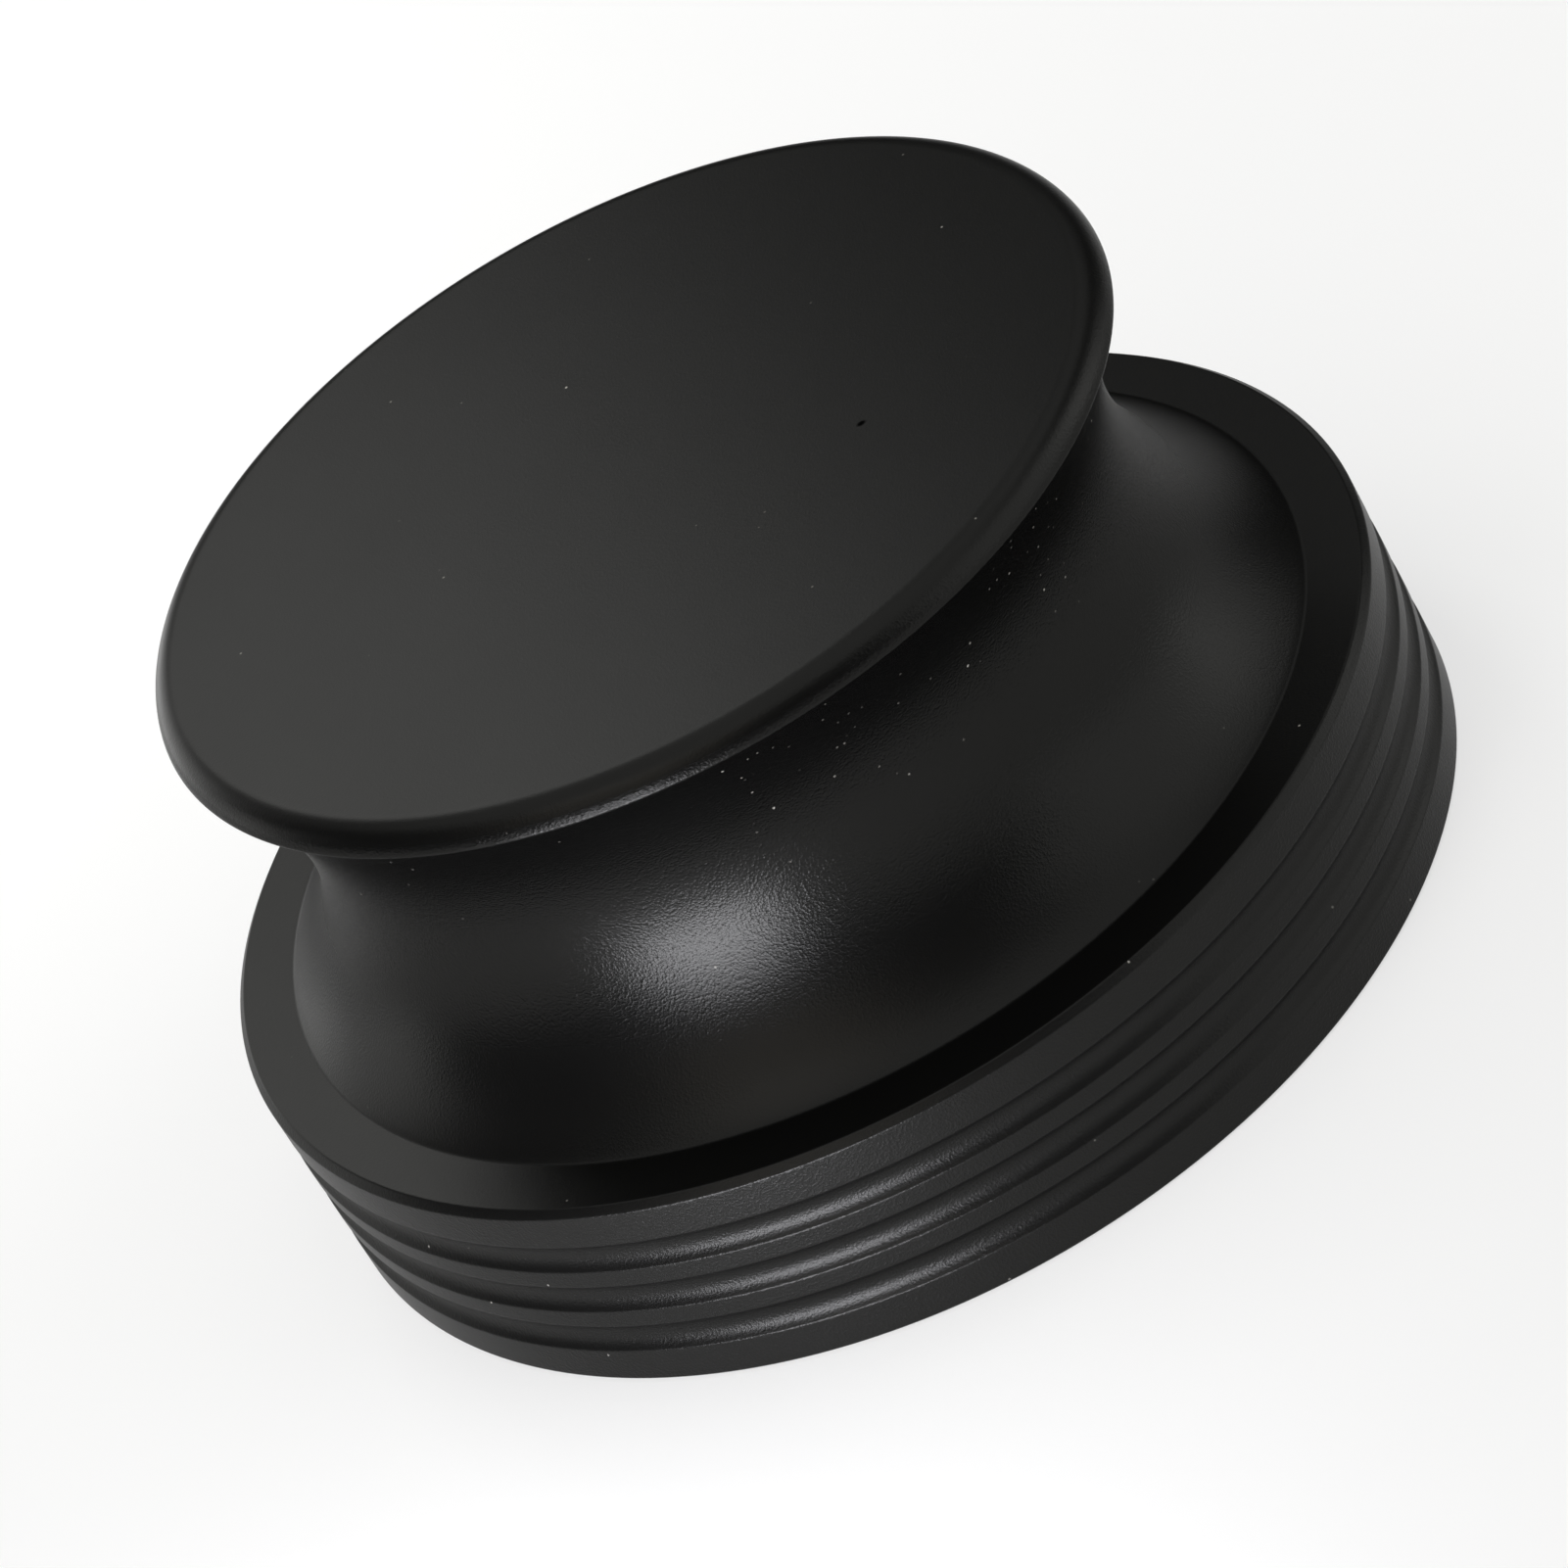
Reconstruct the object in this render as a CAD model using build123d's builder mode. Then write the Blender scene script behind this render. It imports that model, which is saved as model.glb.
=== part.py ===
# Record weight: one turned aluminium piece that stands over a turntable's spindle.
# The origin is at the centre of the underside, with +Z along the turning axis.

import os
from math import cos, radians, sin

from build123d import *

# Overall sizes, in millimetres
overall_height = 38.0
base_diameter = 76.0
base_height = 14.1

# Broken edges of the base
ledge_chamfer = 0.45
underside_chamfer = 0.2

# Round-bottomed grip grooves, centred on the base wall
groove_count = 3
groove_width = 2.1
groove_depth = 0.45
groove_pitch = 3.34

# Concave neck: one arc from the knob's lower edge to the ledge, hollowed in from a straight line
neck_hollow = 5.05
foot_fillet = 0.4
ledge_width = 4.0

# Knob: a flat top whose rim rolls over, through an angle in degrees, to a crisp lower edge
knob_diameter = 62.84
rim_round = 1.85
rim_sweep = 82.2
rim_edge_break = 0.15

# Blind bore that drops over the spindle
spindle_diameter = 7.2
spindle_clearance = 0.2
bore_depth = 22.0
bore_chamfer = 0.6

# Values that follow from the sizes above
base_radius = base_diameter / 2
foot_radius = base_radius - ledge_width
top_radius = knob_diameter / 2 - rim_round * sin(radians(rim_sweep))
rim_edge_height = overall_height - rim_round * (1 - cos(radians(rim_sweep)))
wall_middle = (underside_chamfer + base_height - ledge_chamfer) / 2
groove_arc_radius = ((groove_width / 2) ** 2 + groove_depth**2) / (2 * groove_depth)
groove_centre_radius = base_radius - groove_depth + groove_arc_radius
bore_radius = (spindle_diameter + spindle_clearance) / 2

with BuildPart() as weight_body:
    # Half section of the knob, neck and base, from the top down, turned about the axis
    with BuildSketch(Plane.XZ):
        with BuildLine():
            top = Line((0, overall_height), (top_radius, overall_height))
            rim = JernArc(top @ 1, top % 1, rim_round, -rim_sweep)
            neck = SagittaArc(rim @ 1, (foot_radius, base_height), -neck_hollow)
            Polyline(
                neck @ 1,
                (base_radius, base_height),
                (base_radius, 0),
                (0, 0),
                top @ 0,
            )
        make_face()
    revolve(axis=Axis.Z)

    # Circular edges, found by their heights from the underside up
    circles = weight_body.edges().filter_by(Edge.is_closed)
    underside_edge, ledge_edges, rim_edge = circles.group_by(Axis.Z)[:3]
    foot_edge, wall_edge = ledge_edges.sort_by(SortBy.RADIUS)
    fillet(foot_edge, radius=foot_fillet)
    fillet(rim_edge, radius=rim_edge_break)
    chamfer(wall_edge, length=ledge_chamfer)
    chamfer(underside_edge, length=underside_chamfer)

    # Grip grooves, each a ring of round section cut from the wall
    with BuildSketch(Plane.XZ):
        with Locations((groove_centre_radius, wall_middle)):
            with GridLocations(0, groove_pitch, 1, groove_count):
                Circle(groove_arc_radius)
    revolve(axis=Axis.Z, mode=Mode.SUBTRACT)

    # Spindle bore from the underside, with a chamfered mouth
    underside = weight_body.faces().sort_by(Axis.Z)[0]
    with Locations(underside):
        Hole(radius=bore_radius, depth=bore_depth)
    underside_circles = weight_body.edges().filter_by(Edge.is_closed).group_by(Axis.Z)[0]
    bore_mouth = underside_circles.sort_by(SortBy.RADIUS)[0]
    chamfer(bore_mouth, length=bore_chamfer)

weight_body.part.label = "weight_body"

os.makedirs("parts", exist_ok=True)
export_step(weight_body.part, "parts/weight_body.step")
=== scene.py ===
"""A turned record weight in black anodised aluminium, on a pale studio floor."""

import logging
from dataclasses import dataclass, field
from enum import Enum
from math import asin, cos, degrees, pi, radians, sin, tau
from typing import Any

import bmesh
import bpy
from mathutils import Matrix, Vector


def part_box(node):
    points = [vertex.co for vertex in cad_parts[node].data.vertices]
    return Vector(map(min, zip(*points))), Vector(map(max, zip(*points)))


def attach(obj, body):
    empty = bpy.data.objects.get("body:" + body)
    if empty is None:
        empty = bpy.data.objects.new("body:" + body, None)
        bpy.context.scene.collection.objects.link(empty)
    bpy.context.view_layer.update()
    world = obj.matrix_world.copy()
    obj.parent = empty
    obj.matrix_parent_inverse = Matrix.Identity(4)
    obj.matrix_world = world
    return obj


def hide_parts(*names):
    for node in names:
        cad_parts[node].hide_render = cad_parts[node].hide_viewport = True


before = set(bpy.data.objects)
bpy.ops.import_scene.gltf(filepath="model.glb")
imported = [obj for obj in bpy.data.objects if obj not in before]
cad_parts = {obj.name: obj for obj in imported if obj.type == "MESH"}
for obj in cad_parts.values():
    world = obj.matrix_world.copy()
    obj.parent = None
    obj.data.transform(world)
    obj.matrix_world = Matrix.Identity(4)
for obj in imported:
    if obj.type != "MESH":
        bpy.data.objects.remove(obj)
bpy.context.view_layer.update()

log = logging.getLogger("record_weight")

MM = 0.001


class Frame(Enum):
    """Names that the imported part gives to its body, its node and its material slot."""

    BODY = "root"
    NODE = "weight_body"
    SLOT = "anodised_aluminium"


def linear(hex_colour: str) -> tuple[float, float, float, float]:
    """Turns an sRGB hex colour to linear light.

    Args:
        hex_colour: The colour as "#rrggbb".

    Returns:
        Linear red, green and blue, and an alpha of 1.
    """
    parts = [int(hex_colour[i : i + 2], 16) / 255 for i in (1, 3, 5)]
    red, green, blue = (
        c / 12.92 if c <= 0.04045 else ((c + 0.055) / 1.055) ** 2.4 for c in parts
    )
    return red, green, blue, 1.0


def add_node(
    tree: bpy.types.NodeTree,
    kind: str,
    inputs: dict[str | int, Any] | None = None,
    **settings: Any,
) -> bpy.types.Node:
    """Adds one shader node.

    Args:
        tree: The node tree that the node joins.
        kind: The node's type name, without its ShaderNode prefix.
        inputs: Values for the node's input sockets, or output sockets to link to them.
        settings: Values for the node's own properties.

    Returns:
        The new node.
    """
    node = tree.nodes.new("ShaderNode" + kind)
    for name, value in settings.items():
        setattr(node, name, value)
    for key, value in (inputs or {}).items():
        if isinstance(value, bpy.types.NodeSocket):
            tree.links.new(value, node.inputs[key])
        else:
            node.inputs[key].default_value = value
    return node


def new_tree(name: str) -> tuple[bpy.types.Material, bpy.types.NodeTree]:
    """Makes a material with an empty node tree.

    Args:
        name: The material's name.

    Returns:
        The material and its tree.
    """
    material = bpy.data.materials.new(name)
    material.use_nodes = True
    material.node_tree.nodes.clear()
    return material, material.node_tree


@dataclass(frozen=True)
class Fleck:
    """One small mark on the surface. Sizes are in millimetres, the heading in degrees about Z."""

    centre: tuple[float, float, float]
    length: float
    width: float
    heading: float
    colour: str
    strength: float = 1.0
    soft_border: float = 0.5

    def share(self, tree: bpy.types.NodeTree, place: bpy.types.NodeSocket) -> bpy.types.NodeSocket:
        """Builds the fleck's mask.

        Args:
            tree: The node tree of the surface.
            place: Position on the surface.

        Returns:
            How much of the fleck shows: most in its middle, and none outside it.
        """
        local = add_node(
            tree,
            "Mapping",
            {
                "Vector": place,
                "Location": [part * MM for part in self.centre],
                "Rotation": (0, 0, radians(self.heading)),
                "Scale": [size / 2 * MM for size in (self.length, self.width, self.width)],
            },
            vector_type="TEXTURE",
        )
        reach = add_node(tree, "VectorMath", {0: local.outputs[0]}, operation="LENGTH")
        shown = add_node(
            tree,
            "MapRange",
            {
                "Value": reach.outputs["Value"],
                "From Min": 1.0,
                "From Max": 1.0 - self.soft_border,
                "To Max": self.strength,
            },
        )
        return shown.outputs["Result"]


@dataclass(frozen=True)
class Dust:
    """Pale household dust: tiny matt specks, a few anywhere and more where it has settled.

    Sizes are in millimetres. The patches lie under the knob, and the ceiling keeps them off it.
    """

    colour: str = "#b4b2aa"
    spacing: float = 0.75
    radius: float = 0.1
    few: float = 0.015
    strongest: float = 0.9
    patches: tuple[tuple[float, float, float], ...] = (
        (18.5, -22.5, 33.0),
        (2.0, -28.8, 32.0),
        (-23.5, -17.0, 32.8),
    )
    patch_shares: tuple[float, ...] = (0.8, 0.6, 0.2)
    patch_reach: float = 9.0
    ceiling: float = 36.0

    def share(self, tree: bpy.types.NodeTree, place: bpy.types.NodeSocket) -> bpy.types.NodeSocket:
        """Builds the specks' mask.

        Args:
            tree: The node tree of the surface.
            place: Position on the surface.

        Returns:
            How much dust hides the surface, from 0 to 1.
        """
        chosen = None
        for centre, share in zip(self.patches, self.patch_shares):
            middle = [part * MM for part in centre]
            away = add_node(tree, "VectorMath", {0: place, 1: middle}, operation="DISTANCE")
            patch = add_node(
                tree,
                "MapRange",
                {
                    "Value": away.outputs["Value"],
                    "From Min": self.patch_reach * MM,
                    "From Max": self.patch_reach / 3 * MM,
                    "To Max": share,
                },
            ).outputs["Result"]
            if chosen:
                either = add_node(tree, "Math", {0: chosen, 1: patch}, operation="MAXIMUM")
                patch = either.outputs[0]
            chosen = patch
        height = add_node(tree, "SeparateXYZ", {"Vector": place}).outputs["Z"]
        under = add_node(tree, "Math", {0: height, 1: self.ceiling * MM}, operation="LESS_THAN")
        settled = add_node(
            tree,
            "Math",
            {0: chosen, 1: under.outputs[0], 2: self.few},
            operation="MULTIPLY_ADD",
        ).outputs[0]
        specks = add_node(
            tree, "TexVoronoi", {"Vector": place, "Scale": 1 / (self.spacing * MM)}
        )
        chance = add_node(tree, "SeparateColor", {"Color": specks.outputs["Color"]})
        lies = add_node(
            tree, "Math", {0: chance.outputs["Red"], 1: settled}, operation="LESS_THAN"
        )
        pale = add_node(
            tree,
            "Math",
            {0: chance.outputs["Green"], 1: chance.outputs["Blue"]},
            operation="MULTIPLY",
        )
        dot = add_node(
            tree,
            "MapRange",
            {
                "Value": specks.outputs["Distance"],
                "From Min": self.radius / self.spacing,
                "From Max": self.radius / self.spacing / 2,
                "To Max": self.strongest,
            },
        )
        shown = dot.outputs["Result"]
        for part in (lies.outputs[0], pale.outputs[0]):
            shown = add_node(tree, "Math", {0: shown, 1: part}, operation="MULTIPLY").outputs[0]
        return shown


@dataclass(frozen=True)
class BlastedAnodising:
    """Aluminium that was bead blasted, then anodised and dyed black. Sizes are in millimetres.

    The dyed oxide film takes away most of the metal's reflection, so the eye gets a near-black
    surface with a weak, broad, satin sheen, which the blasting also dulls at a glancing angle. The
    grooved wall came out rougher, so its sheen is softer. On the wall the dye is also drawn a shade
    paler and the glancing sheen stronger, so that its ends show more sheen: this is painted
    reflection, standing in for the bright floor that the wall mirrors. The beads' shallow dimples
    show as fine sparkle where the sheen changes quickly, and hardly at all where it is even.
    """

    name: str = "black_anodised_aluminium_bead_blasted"
    film: str = "#212120"
    # Paler film colour, used for the dye's random drift and for the base wall's painted reflection.
    film_pale_drift_and_painted_wall: str = "#282827"
    drift_size: float = 9.0
    drift_detail: float = 3.0
    drift_share: float = 0.25
    # Painted reflection: how much paler the base wall's dye is drawn, to stand in for the bright
    # floor it mirrors.
    wall_painted_paleness: float = 0.5
    metal_share: float = 0.82
    edge_sheen: str = "#bcbcbc"
    # Painted reflection: the base wall's glancing sheen, drawn stronger than on the rest of the
    # weight.
    wall_painted_edge_sheen: str = "#d8d8d8"
    specular_level: float = 0.2

    flat_from: float = 0.25
    wall_top: float = 13.6
    wall_fade: float = 0.4
    wall_roughness: float = 0.36
    roughness: float = 0.235
    flat_roughness: float = 0.36

    # Real dimples are mostly under 0.1 mm across. They are drawn coarser, in this size and half
    # of it, so that they show in the render.
    dimple_size: float = 0.17
    dimple_detail: float = 1.0
    fine_share: float = 0.5
    wall_dimple_depth: float = 0.011
    dimple_depth: float = 0.009
    flat_dimple_depth: float = 0.002

    dust: Dust = field(default_factory=Dust)
    flecks: tuple[Fleck, ...] = (
        Fleck((13.45, -10.3, 38.0), 0.75, 0.6, 0.0, "#060606"),
        Fleck((-0.05, 11.15, 38.0), 0.2, 0.25, 0.0, "#b4b2aa"),
    )

    def material(self) -> bpy.types.Material:
        """Builds the finish as a material."""
        material, tree = new_tree(self.name)
        place = add_node(tree, "TexCoord").outputs["Object"]
        surface = self.film_shader(tree, place)
        marks = [(self.dust.share(tree, place), self.dust.colour)]
        marks += [(fleck.share(tree, place), fleck.colour) for fleck in self.flecks]
        for share, colour in marks:
            matt = add_node(tree, "BsdfDiffuse", {"Color": linear(colour)})
            mixed = add_node(tree, "MixShader", {0: share, 1: surface, 2: matt.outputs[0]})
            surface = mixed.outputs[0]
        add_node(tree, "OutputMaterial", {"Surface": surface})
        return material

    def film_shader(
        self, tree: bpy.types.NodeTree, place: bpy.types.NodeSocket
    ) -> bpy.types.NodeSocket:
        """Builds the clean film: its dye, its sheen, the painted reflection on the base wall, and
        the beads' dimples.

        Args:
            tree: The node tree of the surface.
            place: Position on the surface.

        Returns:
            The film's shader.
        """
        drift = add_node(
            tree,
            "TexNoise",
            {"Vector": place, "Scale": 1 / (self.drift_size * MM), "Detail": self.drift_detail},
        ).outputs["Fac"]
        facing = add_node(tree, "TexCoord").outputs["Normal"]
        upward = add_node(tree, "SeparateXYZ", {"Vector": facing}).outputs["Z"]
        height = add_node(tree, "SeparateXYZ", {"Vector": place}).outputs["Z"]
        wall, painted_wall_paleness, sheen, depth = (
            self.by_zone(tree, height, upward, *values)
            for values in (
                (1.0, 0.0, 0.0),
                (self.wall_painted_paleness, 0.0, 0.0),
                (self.wall_roughness, self.roughness, self.flat_roughness),
                (self.wall_dimple_depth * MM, self.dimple_depth * MM, self.flat_dimple_depth * MM),
            )
        )
        # Random drift in the dye, plus the base wall's painted paleness, which stands in for
        # reflected floor.
        drift_and_painted_paleness = add_node(
            tree,
            "Math",
            {0: drift, 1: self.drift_share, 2: painted_wall_paleness},
            operation="MULTIPLY_ADD",
        )
        dye = add_node(
            tree,
            "Mix",
            {0: drift_and_painted_paleness.outputs[0], 6: linear(self.film), 7: linear(self.film_pale_drift_and_painted_wall)},
            data_type="RGBA",
        )
        # The film's glancing sheen, drawn stronger on the base wall as painted reflection.
        sheen_tint_with_painted_wall = add_node(
            tree,
            "Mix",
            {0: wall, 6: linear(self.edge_sheen), 7: linear(self.wall_painted_edge_sheen)},
            data_type="RGBA",
        )
        across = add_node(
            tree,
            "TexVoronoi",
            {
                "Vector": place,
                "Scale": 1 / (self.dimple_size * MM),
                "Detail": self.dimple_detail,
                "Roughness": self.fine_share,
            },
        ).outputs["Distance"]
        bowls = add_node(tree, "Math", {0: across, 1: across}, operation="MULTIPLY")
        relief = add_node(tree, "Bump", {"Height": bowls.outputs[0], "Distance": depth})
        film = add_node(
            tree,
            "BsdfPrincipled",
            {
                "Base Color": dye.outputs[2],
                "Metallic": self.metal_share,
                "Roughness": sheen,
                "Specular IOR Level": self.specular_level,
                "Specular Tint": sheen_tint_with_painted_wall.outputs[2],
                "Normal": relief.outputs["Normal"],
            },
        )
        return film.outputs["BSDF"]

    def by_zone(
        self,
        tree: bpy.types.NodeTree,
        height: bpy.types.NodeSocket,
        upward: bpy.types.NodeSocket,
        wall: float,
        neck: float,
        flat: float,
    ) -> bpy.types.NodeSocket:
        """Blends a value between the base wall, the neck and the flats.

        Args:
            tree: The node tree of the surface.
            height: Height on the surface.
            upward: How much the surface faces up.
            wall: The value on the base wall.
            neck: The value on the neck and the rim.
            flat: The value on faces that look straight up.

        Returns:
            The blended value.
        """
        steep = add_node(
            tree,
            "MapRange",
            {
                "Value": height,
                "From Min": self.wall_top * MM,
                "From Max": (self.wall_top + self.wall_fade) * MM,
                "To Min": wall,
                "To Max": neck,
            },
        )
        blended = add_node(
            tree,
            "MapRange",
            {
                "Value": upward,
                "From Min": self.flat_from,
                "To Min": steep.outputs["Result"],
                "To Max": flat,
            },
        )
        return blended.outputs["Result"]


class Outline:
    """Half of a turned section: a chain of edges in the XZ plane, in millimetres, drawn in order."""

    def __init__(self, radius: float, height: float) -> None:
        """Starts the chain.

        Args:
            radius: Distance of the first point from the turning axis.
            height: Height of the first point.
        """
        self.mesh = bmesh.new()
        self.end = self.mesh.verts.new((radius * MM, 0, height * MM))
        self.breaks: dict[float, list[bmesh.types.BMVert]] = {}

    def line(self, radius: float, height: float, hold: float = 0.0) -> None:
        """Draws a straight run, with a point close to each end that keeps the run's shading flat.

        Args:
            radius: Distance of the run's end from the turning axis.
            height: Height of the run's end.
            hold: Distance of the two extra points from the ends, or 0 for none.
        """
        start = self.end.co.copy()
        finish = Vector((radius * MM, 0, height * MM))
        step = (finish - start).normalized() * hold * MM
        stops = [start + step, finish - step, finish] if hold else [finish]
        for stop in stops:
            made = bmesh.ops.extrude_vert_indiv(self.mesh, verts=[self.end])
            self.end = made["verts"][0]
            self.end.co = stop

    def arc(self, radius: float, height: float, angle: float, steps: int) -> None:
        """Draws a circular run about a centre.

        Args:
            radius: Distance of the centre from the turning axis.
            height: Height of the centre.
            angle: Turn in degrees, from the top outwards when positive.
            steps: Number of edges in the run.
        """
        made = bmesh.ops.spin(
            self.mesh,
            geom=[self.end],
            cent=(radius * MM, 0, height * MM),
            axis=(0, 1, 0),
            angle=radians(angle),
            steps=steps,
        )
        self.end = next(v for v in made["geom_last"] if isinstance(v, bmesh.types.BMVert))

    def corner(self, offset: float) -> None:
        """Marks the last point as a corner to round.

        Args:
            offset: How far from the corner the rounding starts.
        """
        self.breaks.setdefault(offset, []).append(self.end)

    def turned(self, steps: int, round_steps: int) -> bmesh.types.BMesh:
        """Rounds the marked corners and turns the section about the Z axis.

        Args:
            steps: Number of faces round the turned piece.
            round_steps: Number of edges in each rounded corner.

        Returns:
            The closed mesh, with its faces pointing outwards.
        """
        for offset, corners in self.breaks.items():
            bmesh.ops.bevel(
                self.mesh,
                geom=corners,
                offset=offset * MM,
                affect="VERTICES",
                segments=round_steps,
                profile=0.5,
                material=-1,
            )
        bmesh.ops.spin(
            self.mesh,
            geom=self.mesh.verts[:] + self.mesh.edges[:],
            cent=(0, 0, 0),
            axis=(0, 0, 1),
            angle=tau,
            steps=steps,
            use_merge=True,
        )
        bmesh.ops.remove_doubles(self.mesh, verts=self.mesh.verts, dist=0.001 * MM)
        bmesh.ops.recalc_face_normals(self.mesh, faces=self.mesh.faces)
        for face in self.mesh.faces:
            face.smooth = True
        return self.mesh


@dataclass
class RecordWeight:
    """The weight: a grooved base, a concave neck and a flat-topped knob, turned in one piece.

    Sizes are in millimetres and angles in degrees. The height and the base come from the frame.
    """

    finish: BlastedAnodising = field(default_factory=BlastedAnodising)

    base_height: float = 14.1
    ledge_width: float = 4.0
    ledge_chamfer: float = 0.45
    underside_chamfer: float = 0.2

    groove_count: int = 3
    groove_width: float = 2.1
    groove_depth: float = 0.45
    groove_pitch: float = 3.34

    neck_hollow: float = 5.05

    knob_diameter: float = 62.84
    rim_round: float = 1.85
    rim_sweep: float = 82.2

    bore_diameter: float = 7.4
    bore_depth: float = 22.0
    bore_chamfer: float = 0.6

    foot_break: float = 0.13
    rim_break: float = 0.1
    edge_break: float = 0.07
    hold: float = 0.15

    steps_round: int = 256
    neck_steps: int = 48
    rim_steps: int = 14
    groove_steps: int = 12
    corner_steps: int = 3

    def outline(self) -> Outline:
        """Draws the half section from the middle of the top, round the outside, to the bore's end.

        Returns:
            The outline, ready to be turned.
        """
        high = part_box(Frame.NODE.value)[1] / MM
        top = high.z
        base_radius = high.x
        foot_radius = base_radius - self.ledge_width

        rim_centre = self.knob_diameter / 2 - self.rim_round * sin(radians(self.rim_sweep))
        outline = Outline(0, top)
        outline.line(rim_centre, top, self.hold)
        outline.arc(rim_centre, top - self.rim_round, self.rim_sweep, self.rim_steps)
        outline.corner(self.rim_break)

        self.draw_neck(outline, Vector((foot_radius, 0, self.base_height)))
        outline.corner(self.foot_break)

        outline.line(base_radius - self.ledge_chamfer, self.base_height, self.hold)
        outline.corner(self.edge_break)
        outline.line(base_radius, self.base_height - self.ledge_chamfer, self.edge_break * 2)
        outline.corner(self.edge_break)
        self.draw_grooves(outline, base_radius)
        outline.line(base_radius, self.underside_chamfer, self.hold)
        outline.corner(self.edge_break)
        outline.line(base_radius - self.underside_chamfer, 0)
        outline.corner(self.edge_break)

        bore_radius = self.bore_diameter / 2
        outline.line(bore_radius + self.bore_chamfer, 0, self.hold)
        outline.corner(self.edge_break)
        outline.line(bore_radius, self.bore_chamfer, self.hold)
        outline.corner(self.edge_break)
        outline.line(bore_radius, self.bore_depth, self.hold)
        outline.corner(self.edge_break)
        outline.line(0, self.bore_depth, self.hold)
        return outline

    def draw_neck(self, outline: Outline, foot: Vector) -> None:
        """Draws the neck as one arc, hollowed in from the straight line between knob and foot.

        Args:
            outline: The outline, which ends at the knob's lower edge.
            foot: Where the neck meets the ledge.
        """
        edge = outline.end.co / MM
        chord = foot - edge
        half = chord.length / 2
        radius = (half**2 + self.neck_hollow**2) / (2 * self.neck_hollow)
        outward = Vector((-chord.z, 0, chord.x)).normalized()
        centre = (edge + foot) / 2 + outward * (radius - self.neck_hollow)
        outline.arc(centre.x, centre.z, -2 * degrees(asin(half / radius)), self.neck_steps)

    def draw_grooves(self, outline: Outline, base_radius: float) -> None:
        """Draws the base wall's round-bottomed grooves from the top one down.

        Args:
            outline: The outline, which ends at the wall's upper edge.
            base_radius: Radius of the wall.
        """
        half = self.groove_width / 2
        arc_radius = (half**2 + self.groove_depth**2) / (2 * self.groove_depth)
        arc_centre = base_radius - self.groove_depth + arc_radius
        middle = (self.underside_chamfer + self.base_height - self.ledge_chamfer) / 2
        for index in range(self.groove_count):
            height = middle + ((self.groove_count - 1) / 2 - index) * self.groove_pitch
            outline.line(base_radius, height + half, self.hold)
            outline.corner(self.edge_break)
            sweep = -2 * degrees(asin(half / arc_radius))
            outline.arc(arc_centre, height, sweep, self.groove_steps)
            outline.corner(self.edge_break)

    def build(self) -> bpy.types.Object:
        """Turns the outline into the weight, and puts it in the place of its plain solid.

        Returns:
            The weight.
        """
        turned = self.outline().turned(self.steps_round, self.corner_steps)
        mesh = bpy.data.meshes.new("record_weight")
        turned.to_mesh(mesh)
        turned.free()
        weight = bpy.data.objects.new("record_weight", mesh)
        bpy.context.scene.collection.objects.link(weight)
        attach(weight, Frame.BODY.value)
        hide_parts(Frame.NODE.value)
        return weight

    def dress(self, weight: bpy.types.Object) -> None:
        """Gives the weight its finish.

        Args:
            weight: The weight that build made.
        """
        weight.data.materials.append(self.finish.material())


@dataclass(frozen=True)
class PaleBoard:
    """Matt white board: even and pale, and white to the camera and in reflections."""

    name: str = "matt_white_board"
    board: str = "#f4f4f2"
    white_share: float = 0.6

    def material(self) -> bpy.types.Material:
        """Builds the board as a material."""
        material, tree = new_tree(self.name)
        path = add_node(tree, "LightPath")
        seen = path.outputs["Is Camera Ray"]
        for ray in ("Is Glossy Ray", "Is Transmission Ray"):
            both = add_node(tree, "Math", {0: seen, 1: path.outputs[ray]}, operation="MAXIMUM")
            seen = both.outputs[0]
        share = add_node(
            tree, "Math", {0: seen, 1: self.white_share}, operation="MULTIPLY"
        )
        diffuse = add_node(tree, "BsdfDiffuse", {"Color": linear(self.board)})
        white = add_node(tree, "Emission", {"Strength": 1.0})
        mixed = add_node(
            tree,
            "MixShader",
            {0: share.outputs[0], 1: diffuse.outputs[0], 2: white.outputs[0]},
        )
        add_node(tree, "OutputMaterial", {"Surface": mixed.outputs[0]})
        material.cycles.emission_sampling = "NONE"
        return material


@dataclass
class StudioFloor:
    """A wide pale board under the weight."""

    side: float = 12000.0
    gap: float = 0.05
    board: PaleBoard = field(default_factory=PaleBoard)

    def build(self) -> bpy.types.Object:
        """Lays the floor just under the weight.

        Returns:
            The floor.
        """
        shape = bmesh.new()
        bmesh.ops.create_grid(shape, x_segments=1, y_segments=1, size=self.side / 2 * MM)
        bmesh.ops.translate(shape, verts=shape.verts, vec=(0, 0, -self.gap * MM))
        mesh = bpy.data.meshes.new("studio_floor")
        shape.to_mesh(mesh)
        shape.free()
        mesh.materials.append(self.board.material())
        floor = bpy.data.objects.new("studio_floor", mesh)
        bpy.context.scene.collection.objects.link(floor)
        return floor


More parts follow.
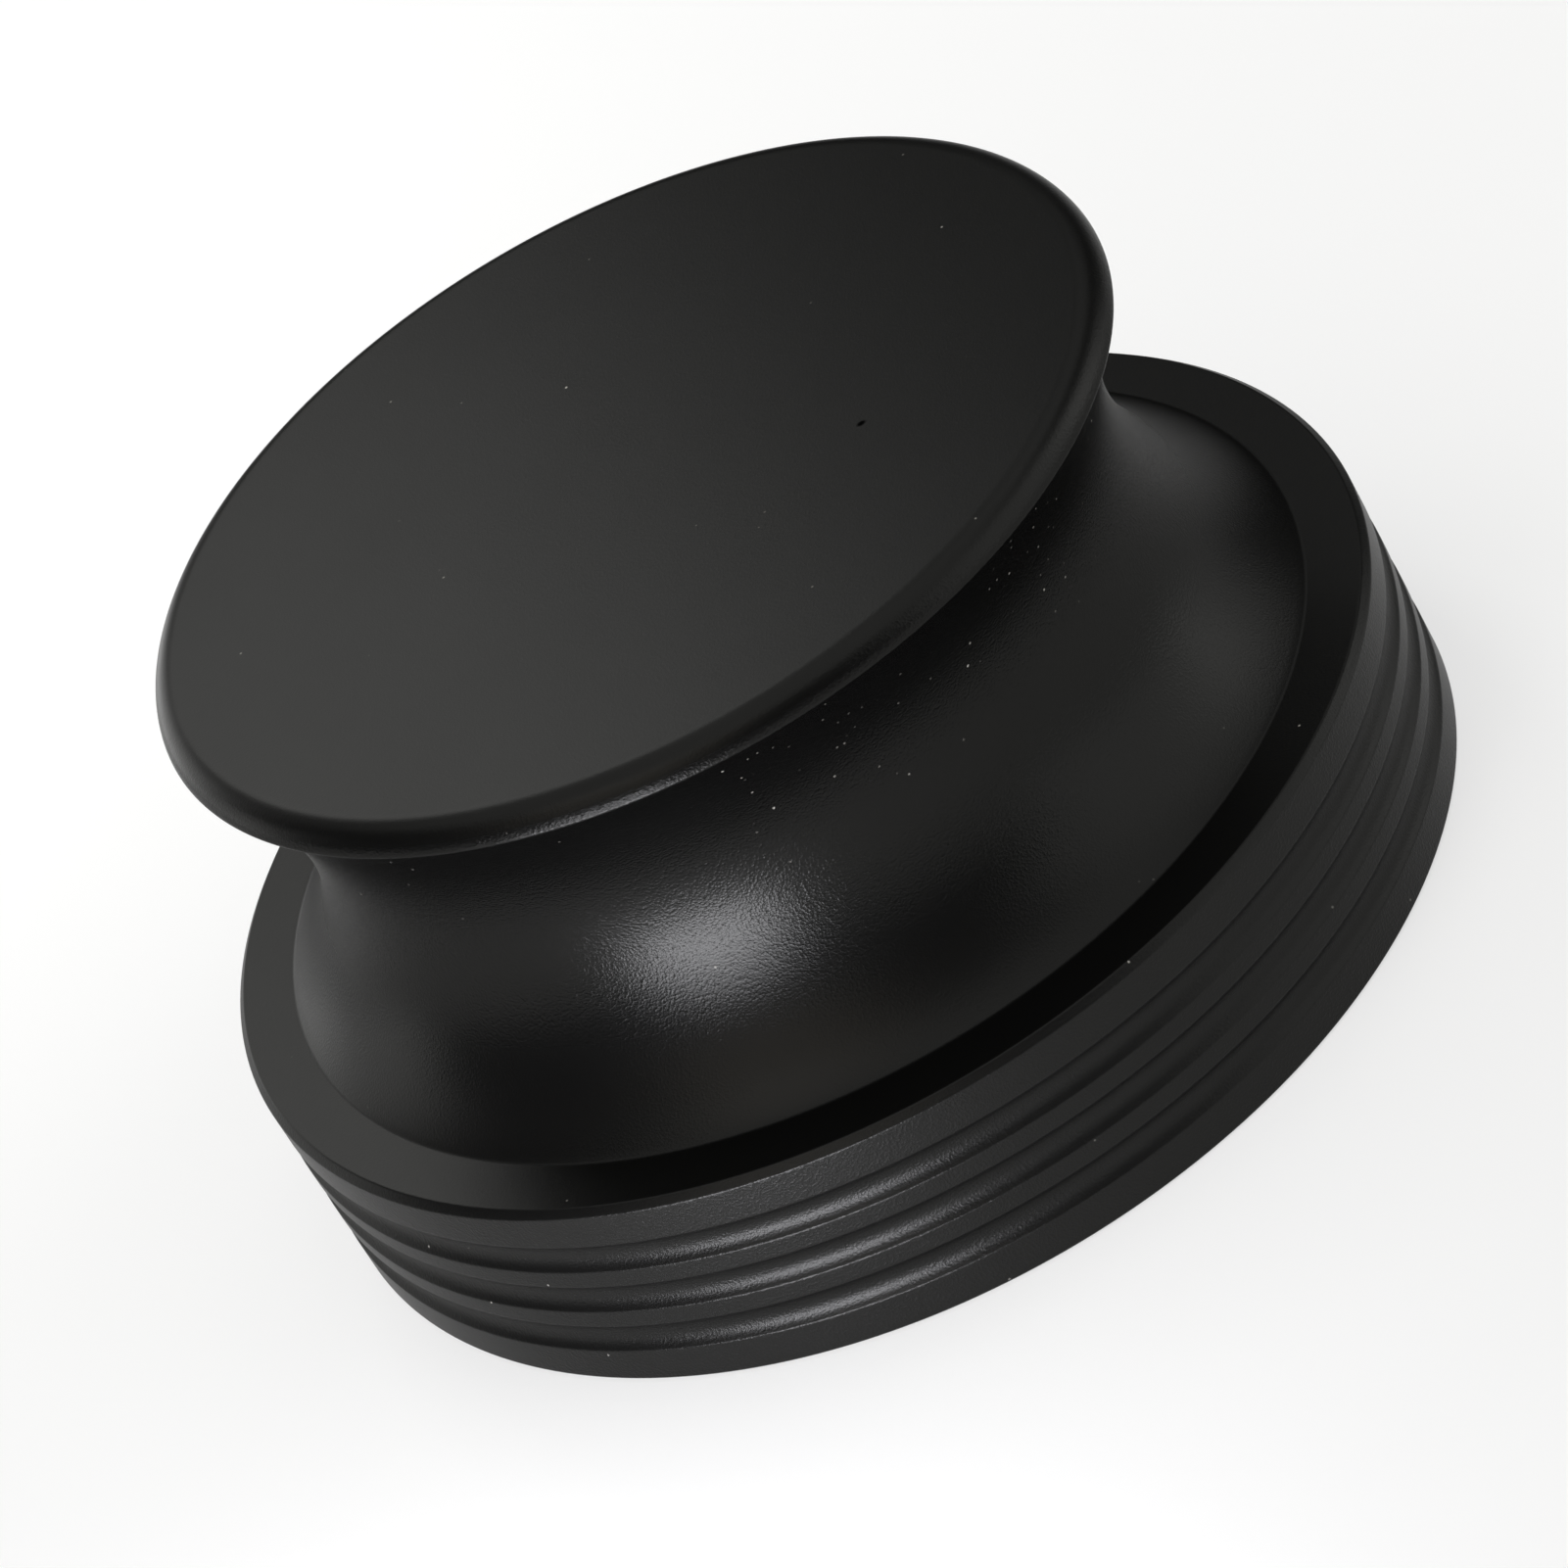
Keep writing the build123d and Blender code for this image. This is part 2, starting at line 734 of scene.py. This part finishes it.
@dataclass(frozen=True)
class Viewpoint:
    """The photograph's camera. Sizes are in millimetres and angles in degrees."""

    target: tuple[float, float, float] = (-1.037, 0.0, 12.74)
    distance: float = 418.0
    elevation: float = 33.005
    roll: float = 30.853
    focal_length: float = 157.5
    sensor_width: float = 36.0

    def place(self) -> bpy.types.Object:
        """Sets up the scene's camera.

        Returns:
            The camera.
        """
        data = bpy.data.cameras.new("photo_camera")
        data.lens = self.focal_length
        data.sensor_width = self.sensor_width
        data.clip_start = 10 * MM
        camera = bpy.data.objects.new("photo_camera", data)
        bpy.context.scene.collection.objects.link(camera)
        tilt = Matrix.Rotation(radians(90 - self.elevation), 4, "X")
        turn = Matrix.Rotation(radians(-self.roll), 4, "Z")
        back = Matrix.Translation((0, 0, self.distance * MM))
        camera.matrix_world = Matrix.Translation(Vector(self.target) * MM) @ tilt @ turn @ back
        bpy.context.scene.camera = camera
        return camera


@dataclass(frozen=True)
class SoftBox:
    """A soft studio lamp that faces the weight. Sizes are in millimetres, the azimuth in degrees.

    A brightness of 1 makes the lamp's own front as bright as white paper in plain light.
    """

    name: str
    azimuth: float
    height: float
    distance: float
    width: float
    tall: float
    brightness: float
    colour: str = "#ffffff"
    aim_height: float = 20.0

    def hang(self) -> bpy.types.Object:
        """Hangs the lamp.

        Returns:
            The lamp.
        """
        data = bpy.data.lights.new(self.name, "AREA")
        data.shape = "RECTANGLE"
        data.size = self.width * MM
        data.size_y = self.tall * MM
        data.energy = self.brightness * pi * data.size * data.size_y
        data.color = linear(self.colour)[:3]
        lamp = bpy.data.objects.new(self.name, data)
        bpy.context.scene.collection.objects.link(lamp)
        turn = radians(self.azimuth)
        place = Vector((cos(turn), sin(turn), 0)) * self.distance + Vector((0, 0, self.height))
        aim = Vector((0, 0, self.aim_height)) - place
        lamp.rotation_euler = aim.to_track_quat("-Z", "Y").to_euler()
        lamp.location = place * MM
        lamp.visible_camera = False
        return lamp


# Name, azimuth, height, distance, width, tall, brightness and colour of each lamp.
RIG = (
    SoftBox("low_front_left", -122, 8.8, 90, 46, 17, 23.5, "#f6f6ff"),
    SoftBox("front_left", -123, 35, 220, 80, 44, 14.0, "#f6f6ff"),
    SoftBox("high_front_left", -127, 340, 350, 300, 300, 0.95, "#fff6e8"),
    SoftBox("low_front", -72, 66, 400, 400, 80, 0.65),
    SoftBox("wide_front_right", -19, 260, 520, 700, 500, 1.25),
    SoftBox("right", 15, 150, 500, 250, 290, 1.45),
    SoftBox("overhead", 0, 510, 0, 750, 600, 1.0),
    SoftBox("high_back_left", 100, 260, 300, 119, 149, 5.75),
    SoftBox("back_right", 61, 400, 450, 290, 300, 0.85),
    SoftBox("low_back_left", 124, 58, 200, 90, 112, 4.9),
    SoftBox("low_left", 150, 50, 200, 90, 90, 2.2),
)


def light(ambient: str = "#202020") -> None:
    """Hangs the lamps and sets the dim light that comes from all round.

    Args:
        ambient: Colour of the light from all round.
    """
    world = bpy.data.worlds.new("studio")
    world.use_nodes = True
    world.node_tree.nodes["Background"].inputs["Color"].default_value = linear(ambient)
    bpy.context.scene.world = world
    for box in RIG:
        box.hang()


def main() -> None:
    """Builds the weight, its floor, the camera and the light."""
    logging.basicConfig(level=logging.INFO, format="%(name)s: %(message)s")
    bpy.context.scene.view_settings.view_transform = "Standard"
    model = RecordWeight()
    weight = model.build()
    model.dress(weight)
    log.info("%s has %d faces", weight.name, len(weight.data.polygons))
    floor = StudioFloor().build()
    log.info("%s lies under it", floor.name)
    Viewpoint().place()
    light()


if __name__ == "__main__":
    main()
